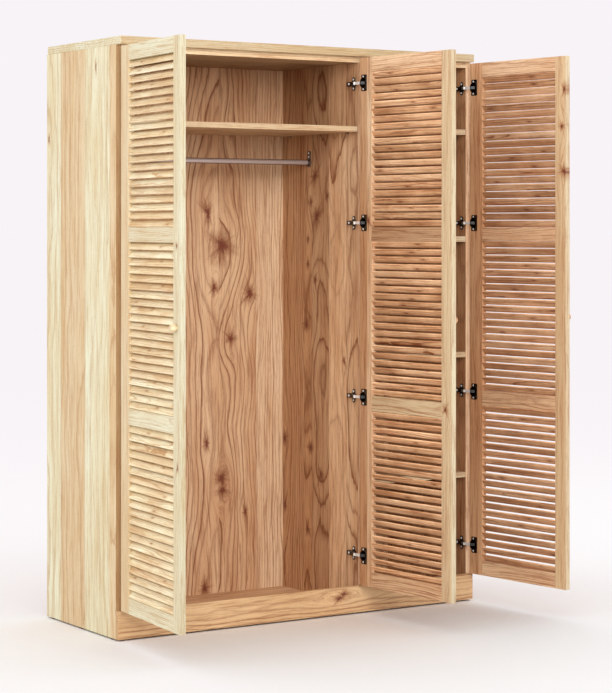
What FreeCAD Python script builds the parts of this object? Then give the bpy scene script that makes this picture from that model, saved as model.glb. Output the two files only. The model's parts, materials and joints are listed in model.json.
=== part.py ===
import FreeCAD, Part
import math
import os
from FreeCAD import Vector

# A three-door louvred wardrobe in oak, its doors standing open.
# Millimetres. X runs left to right, Y from the front to the back and Z up.
# The carcass is drawn from its left outer face (X 0), the front edges of its
# sides (Y 0) and the floor (Z 0), and is moved at the end so that the origin
# lies on the floor in the middle of the sides' footprint.

# Carcass
carcass_width = 1463.0
carcass_depth = 520.0
carcass_height = 2000.0
side_thickness = 20.0
divider_thickness = 20.0
top_board_thickness = 28.0
top_board_overhang = 27.0
top_board_end_inset = 3.0
top_panel_thickness = 20.0
bottom_board_thickness = 21.0
plinth_height = 99.0
plinth_thickness = 14.0
back_thickness = 16.0
back_inset = 4.0

# Glides under the carcass, each with a spigot in the wood
glide_height = 5.0
glide_diameter = 16.0
glide_edge_distance = 40.0
glide_spigot_diameter = 5.0
glide_spigot_length = 12.0
glide_spigot_play = 0.1

# Shelves, hanging rail and what carries them
shelf_thickness = 20.0
shelf_front_inset = 1.0
shelf_end_play = 0.3
hat_space_height = 226.0
right_shelf_shares = (0.259, 0.521, 0.773)
pin_diameter = 5.0
pin_in_panel = 8.0
pin_under_shelf = 8.0
pin_setback = 60.0
pin_hole_play = 0.1
seat_play = 0.1
rail_diameter = 20.0
rail_wall = 1.5
rail_drop = 101.0
rail_setback = 317.0
holder_plate_thickness = 3.0
holder_plate_width = 20.0
holder_rise = 43.0
holder_drop = 4.0
holder_socket_length = 10.0
holder_socket_wall = 2.0
holder_play = 0.2
holder_screw_rises = (21.0, 35.0)

# Dowels that join the boards of the carcass
dowel_diameter = 8.0
dowel_length = 30.0
dowel_in_side = 12.0
dowels_per_joint = 4
dowel_edge_distance = 60.0
dowel_play = 0.1

# Doors
door_margin = 6.0
door_gap = 4.8
door_thickness = 20.0
door_standoff = 2.0
door_bottom_gap = 4.5
door_top_gap = 6.5
divider_overlay = 7.0
hinge_stile_width = 65.0
free_stile_width = 50.0
bottom_rail_height = 52.0
lower_rail_height = 53.5
upper_rail_height = 48.5
top_rail_height = 51.0
lower_field_share = 0.342
middle_field_share = 0.328
left_open_angle = 95.7
middle_open_angle = 95.8
right_open_angle = 96.9

# Louvres
slat_width = 28.5
slat_thickness = 6.0
slat_tilt_angle = 53.0
slats_per_field = 21
slat_rail_gap = 0.4
slat_housing = 8.0
slat_play = 0.2

# Knobs
knob_height = 1054.0
knob_from_free_edge = 25.0
knob_diameter = 25.0
knob_neck_diameter = 14.0
knob_projection = 22.0
knob_neck_length = 8.0
knob_edge_radius = 4.0
knob_tenon_diameter = 10.0
knob_tenon_length = 14.0
knob_tenon_play = 0.1

# Concealed hinges: where the door turns, seen from its closed outer hinge corner
axis_beyond_edge = 2.4
axis_before_face = 1.4

# Concealed hinges: heights, each counted from a door edge or a rail's middle
top_hinge_drop = 88.5
upper_hinge_rise = 40.0
lower_hinge_rise = 20.0
bottom_hinge_rise = 106.5

# Concealed hinges: the cup in the door
cup_diameter = 35.0
cup_depth = 12.0
cup_wall = 1.2
cup_from_edge = 20.5
cup_bore_play = 0.1
flange_thickness = 1.3
flange_radius = 19.0
flange_half_length = 29.0
flange_towards_edge = 10.0
flange_corner_radius = 4.0
ridge_width = 9.0
ridge_rise = 1.0
ridge_slope_width = 2.5
cup_screw_spacing = 44.8
cup_screw_diameter = 3.4
cup_screw_head_diameter = 6.8
cup_screw_head_height = 1.2
cup_screw_head_play = 0.1
cup_screw_depth = 11.0

# Concealed hinges: the mounting plate and the arm on the panel
plate_thickness = 2.5
plate_wing_radius = 8.0
plate_screw_line = 24.0
plate_screw_spacing = 32.0
plate_body_front = 10.0
plate_body_back = 54.0
plate_body_height = 6.0
plate_body_half_width = 8.0
arm_front = 10.0
arm_back = 52.0
arm_top = 13.0
arm_half_width = 7.1
arm_ear_thickness = 2.0
arm_ear_radius = 4.5
arm_ear_run = 14.0
arm_screw_line = 38.0
arm_screw_diameter = 4.0
arm_screw_head_diameter = 8.0
arm_screw_head_height = 1.6
arm_screw_floor = 1.5

# Concealed hinges: the link between arm and cup, and its pin
pin_from_edge = 26.5
pin_before_panel = 6.0
link_pin_diameter = 3.0
link_pin_play = 0.05
link_root_radius = 4.0
link_half_thickness = 2.2
link_side_play = 0.3
link_bend = (11.0, 24.0)
link_tip = (20.0, 15.0)

# Wood screws of the plates and rail holders
wood_screw_diameter = 3.5
wood_screw_head_diameter = 7.0
wood_screw_head_height = 1.6
wood_screw_length = 14.0
screw_hole_play = 0.1

# Heights and places that follow from the sizes above
inner_left = side_thickness
inner_right = carcass_width - side_thickness
top_board_low = carcass_height - top_board_thickness
top_panel_low = top_board_low - top_panel_thickness
bottom_board_top = glide_height + bottom_board_thickness
back_face = carcass_depth - back_inset - back_thickness
door_front = -door_standoff - door_thickness
door_low = plinth_height + door_bottom_gap
door_high = top_board_low - door_top_gap
door_width = (carcass_width - 2 * door_margin - 2 * door_gap) / 3
left_edge = door_margin
middle_edge = door_margin + 2 * door_width + door_gap
right_edge = carcass_width - door_margin
divider_left = middle_edge - divider_overlay
divider_right = divider_left + divider_thickness

rails_together = bottom_rail_height + lower_rail_height + upper_rail_height + top_rail_height
fields_together = door_high - door_low - rails_together
lower_field_low = door_low + bottom_rail_height
lower_rail_low = lower_field_low + lower_field_share * fields_together
middle_field_low = lower_rail_low + lower_rail_height
upper_rail_low = middle_field_low + middle_field_share * fields_together
upper_field_low = upper_rail_low + upper_rail_height
top_rail_low = door_high - top_rail_height
fields = (
    (lower_field_low, lower_rail_low),
    (middle_field_low, upper_rail_low),
    (upper_field_low, top_rail_low),
)
hinge_heights = (
    door_low + bottom_hinge_rise,
    lower_rail_low + lower_rail_height / 2 + lower_hinge_rise,
    upper_rail_low + upper_rail_height / 2 + upper_hinge_rise,
    door_high - top_hinge_drop,
)
louvre_width = door_width - hinge_stile_width - free_stile_width
free_stile_start = door_width - free_stile_width
hat_shelf_low = top_panel_low - hat_space_height - shelf_thickness
rail_height = hat_shelf_low - rail_drop
space_under_hat_shelf = hat_shelf_low - bottom_board_top
right_shelf_lows = [
    bottom_board_top + share * space_under_hat_shelf - shelf_thickness / 2
    for share in right_shelf_shares
] + [hat_shelf_low]
pin_radius = pin_diameter / 2
rail_radius = rail_diameter / 2
holder_socket_radius = rail_radius + holder_play + holder_socket_wall
cup_radius = cup_diameter / 2
link_half_height = arm_half_width - arm_ear_thickness - link_side_play

UP = Vector(0, 0, 1)
LEFT_TO_RIGHT = Vector(1, 0, 0)
INWARD = Vector(0, 1, 0)


def box(x0, x1, y0, y1, z0, z1):
    return Part.makeBox(x1 - x0, y1 - y0, z1 - z0, Vector(x0, y0, z0))


def rod(start, direction, radius, length):
    return Part.makeCylinder(radius, length, start, direction)


def prism(points, z0, z1):
    """An upright prism over a plan outline."""
    corners = [Vector(x, y, z0) for x, y in points]
    outline = Part.makePolygon(corners + corners[:1])
    return Part.Face(outline).extrude(Vector(0, 0, z1 - z0))


def bar(start, end, half_width, z0, z1):
    """An upright bar in plan from one point to another, with round ends."""
    dx, dy = end[0] - start[0], end[1] - start[1]
    length = math.hypot(dx, dy)
    nx, ny = -dy / length * half_width, dx / length * half_width
    middle = prism(
        [
            (start[0] + nx, start[1] + ny),
            (start[0] - nx, start[1] - ny),
            (end[0] - nx, end[1] - ny),
            (end[0] + nx, end[1] + ny),
        ],
        z0,
        z1,
    )
    ends = [rod(Vector(x, y, z0), UP, half_width, z1 - z0) for x, y in (start, end)]
    return middle.multiFuse(ends).removeSplitter()


def save(name, solids):
    """Write one node, with the origin moved to the middle of the footprint."""
    shape = solids[0] if len(solids) == 1 else Part.makeCompound(solids)
    shape = shape.copy()
    shape.translate(Vector(-carcass_width / 2, -carcass_depth / 2, 0))
    shape.exportStep("parts/" + name + ".step")


# Doors: each is drawn closed, as a left door whose hinge corner is at X 0,
# with s along X from the hinge edge and the outer face at Y 0


class Door:
    def __init__(self, name, edge, opening, panel_face, mirrored):
        self.name = name
        self.edge = edge
        self.opening = opening
        self.mirrored = mirrored
        self.overlay = abs(edge - panel_face)

    def place_on_carcass(self, shape):
        """Bring a shape drawn about the hinge edge to its place beside the panel."""
        placed = shape.copy()
        if self.mirrored:
            placed = placed.mirror(Vector(0, 0, 0), LEFT_TO_RIGHT)
        placed.translate(Vector(self.edge, 0, 0))
        return placed

    def place_on_door(self, shape):
        """Bring a shape drawn on the closed door to its place on the open door."""
        opened = shape.copy()
        opened.translate(Vector(0, door_front, 0))
        opened.rotate(Vector(-axis_beyond_edge, door_front - axis_before_face, 0), UP, -self.opening)
        return self.place_on_carcass(opened)

    def open_point(self, along, inward):
        """Where a point of the open door lies in plan, from the closed hinge edge."""
        x = along + axis_beyond_edge
        y = inward + axis_before_face
        angle = math.radians(self.opening)
        turned_x = x * math.cos(angle) + y * math.sin(angle)
        turned_y = -x * math.sin(angle) + y * math.cos(angle)
        return (turned_x - axis_beyond_edge, turned_y + door_front - axis_before_face)


doors = (
    Door("left", left_edge, left_open_angle, inner_left, False),
    Door("middle", middle_edge, middle_open_angle, divider_left, True),
    Door("right", right_edge, right_open_angle, inner_right, True),
)


def slat(start, length, height, play):
    """A tilted slat with round long edges, its outer edge the lower one."""
    radius = slat_thickness / 2 + play
    reach = (slat_width - slat_thickness) / 2
    tilt = math.radians(slat_tilt_angle)
    along = Vector(0, math.cos(tilt), math.sin(tilt))
    across = Vector(0, -math.sin(tilt), math.cos(tilt))
    centre = Vector(start, door_thickness / 2, height)
    inner = centre + along * reach
    outer = centre - along * reach
    edges = [
        Part.makeLine(outer + across * radius, inner + across * radius),
        Part.Arc(inner + across * radius, inner + along * radius, inner - across * radius).toShape(),
        Part.makeLine(inner - across * radius, outer - across * radius),
        Part.Arc(outer - across * radius, outer - along * radius, outer + across * radius).toShape(),
    ]
    return Part.Face(Part.Wire(edges)).extrude(Vector(length, 0, 0))


def slat_heights(low, high):
    """The middle heights of the slats that fill one field between two rails."""
    tilt = math.radians(slat_tilt_angle)
    half = ((slat_width - slat_thickness) * math.sin(tilt) + slat_thickness) / 2
    first = low + slat_rail_gap + half
    last = high - slat_rail_gap - half
    pitch = (last - first) / (slats_per_field - 1)
    return [first + pitch * number for number in range(slats_per_field)]


all_slat_heights = [height for low, high in fields for height in slat_heights(low, high)]


def stile(start, end, housing_start):
    """A door stile with a housing for the end of each slat."""
    blank = box(start, end, 0, door_thickness, door_low, door_high)
    length = slat_housing + slat_play
    housings = [slat(housing_start, length, height, slat_play) for height in all_slat_heights]
    return blank.cut(Part.makeCompound(housings))


def hinge_stile():
    """The hinge stile, bored for the cups and their screws."""
    blank = stile(0, hinge_stile_width, hinge_stile_width - slat_housing - slat_play)
    tools = []
    for height in hinge_heights:
        face = Vector(cup_from_edge, door_thickness, height)
        tools.append(rod(face, -INWARD, cup_radius + cup_bore_play, cup_depth + cup_bore_play))
        for side in (-1, 1):
            start = face + UP * (side * cup_screw_spacing / 2)
            radius = cup_screw_diameter / 2 + screw_hole_play
            tools.append(rod(start, -INWARD, radius, cup_screw_depth + screw_hole_play))
    return blank.cut(Part.makeCompound(tools))


def free_stile():
    """The free stile, with a blind hole for the knob's tenon."""
    blank = stile(free_stile_start, door_width, free_stile_start)
    start = Vector(door_width - knob_from_free_edge, 0, knob_height)
    radius = knob_tenon_diameter / 2 + knob_tenon_play
    return blank.cut(rod(start, INWARD, radius, knob_tenon_length + knob_tenon_play))


def door_rail(low, high):
    return box(hinge_stile_width, free_stile_start, 0, door_thickness, low, high)


def slats():
    start = hinge_stile_width - slat_housing
    length = louvre_width + 2 * slat_housing
    return [slat(start, length, height, 0) for height in all_slat_heights]


def knob():
    """A turned knob on a narrower neck, with a tenon that enters the stile."""
    neck = knob_neck_diameter / 2
    head = knob_diameter / 2
    fillet = knob_edge_radius
    tip = -knob_projection
    half = fillet * math.sqrt(0.5)
    corner = Vector(head - fillet, tip + fillet, 0)
    edges = [
        Part.makeLine(Vector(0, 0, 0), Vector(neck, 0, 0)),
        Part.makeLine(Vector(neck, 0, 0), Vector(neck, -knob_neck_length / 2, 0)),
        Part.makeLine(Vector(neck, -knob_neck_length / 2, 0), Vector(head, -knob_neck_length, 0)),
        Part.makeLine(Vector(head, -knob_neck_length, 0), Vector(head, tip + fillet, 0)),
        Part.Arc(
            Vector(head, tip + fillet, 0),
            corner + Vector(half, -half, 0),
            Vector(head - fillet, tip, 0),
        ).toShape(),
        Part.makeLine(Vector(head - fillet, tip, 0), Vector(0, tip, 0)),
        Part.makeLine(Vector(0, tip, 0), Vector(0, 0, 0)),
    ]
    turned = Part.Face(Part.Wire(edges)).revolve(Vector(0, 0, 0), INWARD, 360)
    tenon = rod(-INWARD * neck, INWARD, knob_tenon_diameter / 2, neck + knob_tenon_length)
    turned = turned.fuse(tenon)
    turned.translate(Vector(door_width - knob_from_free_edge, 0, knob_height))
    return turned


# Hinges


def countersink(top, play):
    """The cone of a cup screw's head, widest at the flange's face."""
    narrow = cup_screw_diameter / 2 + play
    wide = cup_screw_head_diameter / 2 + play
    start = top - INWARD * cup_screw_head_height
    return Part.makeCone(narrow, wide, cup_screw_head_height, start, INWARD)


def flange(height):
    """The flange round the cup, with rounded corners and a low ridge on its far side."""
    near, far = cup_from_edge - flange_towards_edge, cup_from_edge + flange_radius
    low, high = height - flange_half_length, height + flange_half_length
    top = door_thickness + flange_thickness
    plate = box(near, far, door_thickness, top, low, high)
    corners = [edge for edge in plate.Edges if abs(edge.tangentAt(0).y) > 0.5]
    plate = plate.makeFillet(flange_corner_radius, corners)
    middle = Vector(cup_from_edge, door_thickness, height)
    disc = rod(middle, INWARD, flange_radius, flange_thickness)
    outline = [
        (far - ridge_width, door_thickness),
        (far, door_thickness),
        (far, top),
        (far - ridge_slope_width, top + ridge_rise),
        (far - ridge_width + ridge_slope_width, top + ridge_rise),
        (far - ridge_width, top),
    ]
    ridge = prism(outline, low + flange_corner_radius, high - flange_corner_radius)
    return plate.multiFuse([disc, ridge])


def hinge_cup(height):
    """A cup sunk into the stile under its flange."""
    face = Vector(cup_from_edge, door_thickness, height)
    body = rod(face, -INWARD, cup_radius, cup_depth)
    inner_radius = cup_radius - cup_wall
    inner_floor = face - INWARD * (cup_depth - cup_wall)
    holes = [rod(inner_floor, INWARD, inner_radius, cup_depth + flange_thickness + ridge_rise)]
    for side in (-1, 1):
        place = face + UP * (side * cup_screw_spacing / 2)
        holes.append(rod(place, INWARD, cup_screw_diameter / 2 + screw_hole_play, flange_thickness))
        holes.append(countersink(place + INWARD * flange_thickness, cup_screw_head_play))
    return body.fuse(flange(height)).cut(Part.makeCompound(holes))


def cup_screws(height):
    made = []
    for side in (-1, 1):
        face = Vector(cup_from_edge, door_thickness, height + side * cup_screw_spacing / 2)
        top = face + INWARD * flange_thickness
        shank = rod(top, -INWARD, cup_screw_diameter / 2, flange_thickness + cup_screw_depth)
        made.append(shank.fuse(countersink(top, 0)))
    return made


def hinge_plate(face, height):
    """A mounting plate on the panel: two screw wings and a body that carries the arm."""
    low, high = height - plate_screw_spacing / 2, height + plate_screw_spacing / 2
    wing = box(face, face + plate_thickness, plate_screw_line - plate_wing_radius,
               plate_screw_line + plate_wing_radius, low, high)
    body = box(face, face + plate_body_height, plate_body_front, plate_body_back,
               height - plate_body_half_width, height + plate_body_half_width)
    ends = []
    holes = []
    for z in (low, high):
        place = Vector(face, plate_screw_line, z)
        ends.append(rod(place, LEFT_TO_RIGHT, plate_wing_radius, plate_thickness))
        radius = wood_screw_diameter / 2 + screw_hole_play
        holes.append(rod(place, LEFT_TO_RIGHT, radius, plate_body_height))
    floor = Vector(face + arm_screw_floor, arm_screw_line, height)
    holes.append(rod(floor, LEFT_TO_RIGHT, arm_screw_diameter / 2 + screw_hole_play, plate_body_height))
    return wing.multiFuse([body] + ends).cut(Part.makeCompound(holes))


def hinge_arm(face, height):
    """The arm on its plate, with two ears that hold the link's pin in front."""
    block = box(face + plate_body_height, face + arm_top, arm_front, arm_back,
                height - arm_half_width, height + arm_half_width)
    outline = [
        (face + plate_body_height, arm_front),
        (pin_from_edge - arm_ear_radius, -pin_before_panel),
        (pin_from_edge + arm_ear_radius, -pin_before_panel),
        (face + arm_top, arm_front + arm_ear_run),
    ]
    ears = []
    for low in (height - arm_half_width, height + arm_half_width - arm_ear_thickness):
        ears.append(prism(outline, low, low + arm_ear_thickness))
        root = Vector(pin_from_edge, -pin_before_panel, low)
        ears.append(rod(root, UP, arm_ear_radius, arm_ear_thickness))
    pin = Vector(pin_from_edge, -pin_before_panel, height - arm_half_width)
    screw = Vector(face + plate_body_height, arm_screw_line, height)
    holes = [
        rod(pin, UP, link_pin_diameter / 2 + link_pin_play, 2 * arm_half_width),
        rod(screw, LEFT_TO_RIGHT, arm_screw_diameter / 2 + screw_hole_play, arm_top),
    ]
    return block.multiFuse(ears).cut(Part.makeCompound(holes))


def arm_screw(face, height):
    top = Vector(face + arm_top, arm_screw_line, height)
    shank = rod(top, -LEFT_TO_RIGHT, arm_screw_diameter / 2, arm_top - arm_screw_floor)
    head = rod(top, LEFT_TO_RIGHT, arm_screw_head_diameter / 2, arm_screw_head_height)
    return shank.fuse(head)


def link_pin(height):
    start = Vector(pin_from_edge, -pin_before_panel, height - arm_half_width)
    return rod(start, UP, link_pin_diameter / 2, 2 * arm_half_width)


def link(door, height):
    """The bent link, as it reaches from the pin into the cup of the open door."""
    low, high = height - link_half_height, height + link_half_height
    root = (pin_from_edge, -pin_before_panel)
    bend = door.open_point(*link_bend)
    tip = door.open_point(*link_tip)
    eye = rod(Vector(root[0], root[1], low), UP, link_root_radius, high - low)
    first = bar(root, bend, link_half_thickness, low, high)
    second = bar(bend, tip, link_half_thickness, low, high)
    hole = rod(Vector(root[0], root[1], low), UP, link_pin_diameter / 2 + link_pin_play, high - low)
    return eye.multiFuse([first, second]).cut(hole)


def wood_screw(place, direction, seat):
    """A screw whose head sits on a plate of the given thickness over the wood."""
    top = place + direction * seat
    shank = rod(top, -direction, wood_screw_diameter / 2, seat + wood_screw_length)
    head = rod(top, direction, wood_screw_head_diameter / 2, wood_screw_head_height)
    return shank.fuse(head)


def screw_hole(place, direction):
    """The pilot hole of such a screw in the wood behind the plate."""
    depth = wood_screw_length + screw_hole_play
    return rod(place, -direction, wood_screw_diameter / 2 + screw_hole_play, depth)


# Holes and the fittings that fill them, gathered per panel

panel_holes = {"left_side": [], "right_side": [], "divider": [], "top_panel": [], "bottom_board": []}
shelf_pins = []
dowels = []
wood_screws = []
hinge_plates = []
straight_arms = []
cranked_arms = []
arm_screws = []
link_pins = []
glides = []


def add_wood_screw(panel, place, direction, seat):
    wood_screws.append(wood_screw(place, direction, seat))
    panel_holes[panel].append(screw_hole(place, direction))


def add_shelf_pins(low, left_panel, left_face, right_panel, right_face):
    """Four pins under a shelf, two in each of the panels beside it."""
    height = low - pin_radius - seat_play
    for panel, face, direction in ((left_panel, left_face, 1), (right_panel, right_face, -1)):
        for y in (pin_setback, back_face - pin_setback):
            start = Vector(face - direction * pin_in_panel, y, height)
            way = LEFT_TO_RIGHT * direction
            shelf_pins.append(rod(start, way, pin_radius, pin_in_panel + pin_under_shelf))
            panel_holes[panel].append(rod(start, way, pin_radius + pin_hole_play, pin_in_panel))


def dowel_row():
    """The places along the depth where a joint has its dowels."""
    first = dowel_edge_distance
    step = (back_face - 2 * dowel_edge_distance) / (dowels_per_joint - 1)
    return [first + step * number for number in range(dowels_per_joint)]


def add_dowels(end_panel, side_panel, seam, direction):
    """Dowels across a butt joint: the end panel lies ahead of the seam, the side panel behind it."""
    radius = dowel_diameter / 2
    for y in dowel_row():
        start = Vector(seam.x, y, seam.z) - direction * dowel_in_side
        dowels.append(rod(start, direction, radius, dowel_length))
        panel_holes[side_panel].append(rod(start, direction, radius + dowel_play, dowel_in_side))
        depth = dowel_length - dowel_in_side + dowel_play
        seam_start = Vector(seam.x, y, seam.z)
        panel_holes[end_panel].append(rod(seam_start, direction, radius + dowel_play, depth))


def fit_joinery():
    top_middle = top_panel_low + top_panel_thickness / 2
    bottom_middle = glide_height + bottom_board_thickness / 2
    divider_middle = divider_left + divider_thickness / 2
    for panel, height in (("top_panel", top_middle), ("bottom_board", bottom_middle)):
        add_dowels(panel, "left_side", Vector(inner_left, 0, height), LEFT_TO_RIGHT)
        add_dowels(panel, "right_side", Vector(inner_right, 0, height), -LEFT_TO_RIGHT)
    add_dowels("divider", "bottom_board", Vector(divider_middle, 0, bottom_board_top), UP)
    add_dowels("divider", "top_panel", Vector(divider_middle, 0, top_panel_low), -UP)


def fit_glides():
    """Three glides under each side and three under the middle of the bottom board."""
    places = (
        ("left_side", inner_left / 2),
        ("bottom_board", carcass_width / 2),
        ("right_side", carcass_width - inner_left / 2),
    )
    radius = glide_spigot_diameter / 2
    for panel, x in places:
        for y in (glide_edge_distance, carcass_depth / 2, carcass_depth - glide_edge_distance):
            top = Vector(x, y, glide_height)
            foot = rod(top, -UP, glide_diameter / 2, glide_height)
            spigot = rod(top - UP * glide_height, UP, radius, glide_height + glide_spigot_length)
            glides.append(foot.fuse(spigot))
            depth = glide_spigot_length + glide_spigot_play
            panel_holes[panel].append(rod(top, UP, radius + glide_spigot_play, depth))


def fit_shelf_pins():
    add_shelf_pins(hat_shelf_low, "left_side", inner_left, "divider", divider_left)
    for low in right_shelf_lows:
        add_shelf_pins(low, "divider", divider_right, "right_side", inner_right)


def fit_hinges():
    hinge_panels = {"left": "left_side", "middle": "divider", "right": "right_side"}
    for door in doors:
        face = door.overlay
        arms = cranked_arms if door.name == "middle" else straight_arms
        for height in hinge_heights:
            hinge_plates.append(door.place_on_carcass(hinge_plate(face, height)))
            arms.append(door.place_on_carcass(hinge_arm(face, height)))
            arm_screws.append(door.place_on_carcass(arm_screw(face, height)))
            link_pins.append(door.place_on_carcass(link_pin(height)))
            way = -LEFT_TO_RIGHT if door.mirrored else LEFT_TO_RIGHT
            for side in (-1, 1):
                z = height + side * plate_screw_spacing / 2
                place = Vector(door.edge, plate_screw_line, z) + way * face
                add_wood_screw(hinge_panels[door.name], place, way, plate_thickness)


def rail_holder(face, way):
    """A plate on a panel with a socket for the end of the hanging rail."""
    low = rail_height - holder_socket_radius - holder_drop
    high = rail_height + holder_rise
    half = holder_plate_width / 2
    middle = Vector(face, rail_setback, rail_height)
    corner = Vector(face, rail_setback - half, low)
    if way.x < 0:
        corner.x = face - holder_plate_thickness
    plate = Part.makeBox(holder_plate_thickness, holder_plate_width, high - half - low, corner)
    crown = rod(Vector(face, rail_setback, high - half), way, half, holder_plate_thickness)
    length = holder_plate_thickness + holder_socket_length
    socket = rod(middle, way, holder_socket_radius, length)
    bore = rod(middle + way * holder_plate_thickness, way, rail_radius + holder_play, length)
    holes = [bore]
    for rise in holder_screw_rises:
        place = middle + UP * rise
        radius = wood_screw_diameter / 2 + screw_hole_play
        holes.append(rod(place, way, radius, holder_plate_thickness))
    return plate.multiFuse([crown, socket]).cut(Part.makeCompound(holes))


def fit_rail():
    holders = []
    ends = (("left_side", inner_left, LEFT_TO_RIGHT), ("divider", divider_left, -LEFT_TO_RIGHT))
    for panel, face, way in ends:
        holders.append(rail_holder(face, way))
        for rise in holder_screw_rises:
            place = Vector(face, rail_setback, rail_height + rise)
            add_wood_screw(panel, place, way, holder_plate_thickness)
    save("rail_holders", holders)
    start = inner_left + holder_plate_thickness + holder_play
    length = divider_left - holder_plate_thickness - holder_play - start
    middle = Vector(start, rail_setback, rail_height)
    tube = rod(middle, LEFT_TO_RIGHT, rail_radius, length)
    save("hanging_rail", [tube.cut(rod(middle, LEFT_TO_RIGHT, rail_radius - rail_wall, length))])


def drilled(name, blank):
    return blank.cut(Part.makeCompound(panel_holes[name]))


def build_carcass():
    left = box(0, inner_left, 0, carcass_depth, glide_height, top_board_low)
    right = box(inner_right, carcass_width, 0, carcass_depth, glide_height, top_board_low)
    divider = box(divider_left, divider_right, 0, back_face, bottom_board_top, top_panel_low)
    top_panel = box(inner_left, inner_right, 0, carcass_depth, top_panel_low, top_board_low)
    bottom = box(inner_left, inner_right, 0, back_face, glide_height, bottom_board_top)
    save("left_side", [drilled("left_side", left)])
    save("right_side", [drilled("right_side", right)])
    save("divider", [drilled("divider", divider)])
    save("top_panel", [drilled("top_panel", top_panel)])
    save("bottom_board", [drilled("bottom_board", bottom)])
    top_left = top_board_end_inset
    top_right = carcass_width - top_board_end_inset
    top_front = -top_board_overhang
    top_board = box(top_left, top_right, top_front, carcass_depth, top_board_low, carcass_height)
    save("top_board", [top_board])
    plinth = box(0, carcass_width, -plinth_thickness, 0, glide_height, plinth_height)
    save("plinth_board", [plinth])
    seam = divider_left + divider_thickness / 2
    back_end = back_face + back_thickness
    save("left_back_panel", [box(inner_left, seam, back_face, back_end, glide_height, top_panel_low)])
    save("right_back_panel", [box(seam, inner_right, back_face, back_end, glide_height, top_panel_low)])


def shelf(left_face, right_face, low):
    return box(left_face + shelf_end_play, right_face - shelf_end_play, shelf_front_inset,
               back_face, low, low + shelf_thickness)


def build_shelves():
    save("hat_shelf", [shelf(inner_left, divider_left, hat_shelf_low)])
    for number, low in enumerate(right_shelf_lows, 1):
        save("right_shelf_" + str(number), [shelf(divider_right, inner_right, low)])


def build_doors():
    pieces = {
        "hinge_stile": [hinge_stile()],
        "free_stile": [free_stile()],
        "bottom_rail": [door_rail(door_low, lower_field_low)],
        "lower_rail": [door_rail(lower_rail_low, middle_field_low)],
        "upper_rail": [door_rail(upper_rail_low, upper_field_low)],
        "top_rail": [door_rail(top_rail_low, door_high)],
        "slats": slats(),
        "knob": [knob()],
        "hinge_cups": [hinge_cup(height) for height in hinge_heights],
        "cup_screws": [screw for height in hinge_heights for screw in cup_screws(height)],
    }
    for door in doors:
        for name, solids in pieces.items():
            save(door.name + "_" + name, [door.place_on_door(solid) for solid in solids])
        links = [door.place_on_carcass(link(door, height)) for height in hinge_heights]
        save(door.name + "_links", links)


def save_fittings():
    save("glides", glides)
    save("shelf_pins", shelf_pins)
    save("carcass_dowels", dowels)
    save("wood_screws", wood_screws)
    save("hinge_plates", hinge_plates)
    save("straight_arms", straight_arms)
    save("cranked_arms", cranked_arms)
    save("arm_screws", arm_screws)
    save("link_pins", link_pins)


os.makedirs("parts", exist_ok=True)
fit_joinery()
fit_glides()
fit_shelf_pins()
fit_hinges()
fit_rail()
build_carcass()
build_shelves()
build_doors()
save_fittings()
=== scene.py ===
import json
import math

import bpy
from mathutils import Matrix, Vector


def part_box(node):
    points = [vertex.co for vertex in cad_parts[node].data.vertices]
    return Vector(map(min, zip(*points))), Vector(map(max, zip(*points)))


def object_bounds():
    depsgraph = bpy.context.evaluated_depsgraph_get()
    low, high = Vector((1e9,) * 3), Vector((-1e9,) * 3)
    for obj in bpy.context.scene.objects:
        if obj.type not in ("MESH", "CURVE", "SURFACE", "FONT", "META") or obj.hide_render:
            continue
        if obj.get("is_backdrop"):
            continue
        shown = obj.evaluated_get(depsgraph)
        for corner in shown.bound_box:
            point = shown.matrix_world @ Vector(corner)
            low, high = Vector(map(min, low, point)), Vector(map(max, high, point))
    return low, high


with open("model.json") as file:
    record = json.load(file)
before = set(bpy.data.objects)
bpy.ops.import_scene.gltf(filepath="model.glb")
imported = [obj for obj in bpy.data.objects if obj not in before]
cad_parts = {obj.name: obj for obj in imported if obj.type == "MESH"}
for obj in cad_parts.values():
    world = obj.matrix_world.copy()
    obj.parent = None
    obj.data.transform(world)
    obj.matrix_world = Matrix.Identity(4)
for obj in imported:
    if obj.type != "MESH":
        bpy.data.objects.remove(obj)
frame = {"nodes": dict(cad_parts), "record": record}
size = [[round(value, 6) for value in corner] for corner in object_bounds()]

scene = bpy.context.scene
nodes = frame["nodes"]

# Places of the carcass and the doors, in metres, as the frame has them
carcass_width = 1.463
carcass_depth = 0.520
door_margin = 0.006
door_gap = 0.0048
door_front = -0.022
axis_beyond_edge = 0.0024
axis_before_face = 0.0014
door_low = 0.1035
door_high = 1.9655
bottom_rail_height = 0.052
lower_rail_height = 0.0535
upper_rail_height = 0.0485
top_rail_height = 0.051
field_shares = (0.342, 0.328, 0.330)
slats_per_field = 21
slat_width = 0.0285
slat_thickness = 0.006
slat_rail_gap = 0.0004
slat_tilt = math.radians(53)
door_thickness = 0.020
knob_height = 1.054
knob_from_free_edge = 0.025
door_width = (carcass_width - 2 * door_margin - 2 * door_gap) / 3

# Each door: its hinge edge, how many degrees it stands open, and the side its free edge is on
door_edges = {
    "left": (door_margin, 95.7, 1),
    "middle": (door_margin + 2 * door_width + door_gap, 95.8, -1),
    "right": (carcass_width - door_margin, 96.9, -1),
}

# Oak's figure: features per metre along and across the grain, detail and roughness
oak_features = {
    "swell": (4.0, 16.0, 2.0, 0.5),
    "ripple": (26.0, 130.0, 1.0, 0.5),
    "fibre": (5.0, 125.0, 4.0, 0.72),
    "fine": (40.0, 800.0, 3.0, 0.7),
    "cloud": (2.2, 13.0, 2.0, 0.5),
    "vessel": (95.0, 2600.0, 0.0, 0.5),
}
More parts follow.
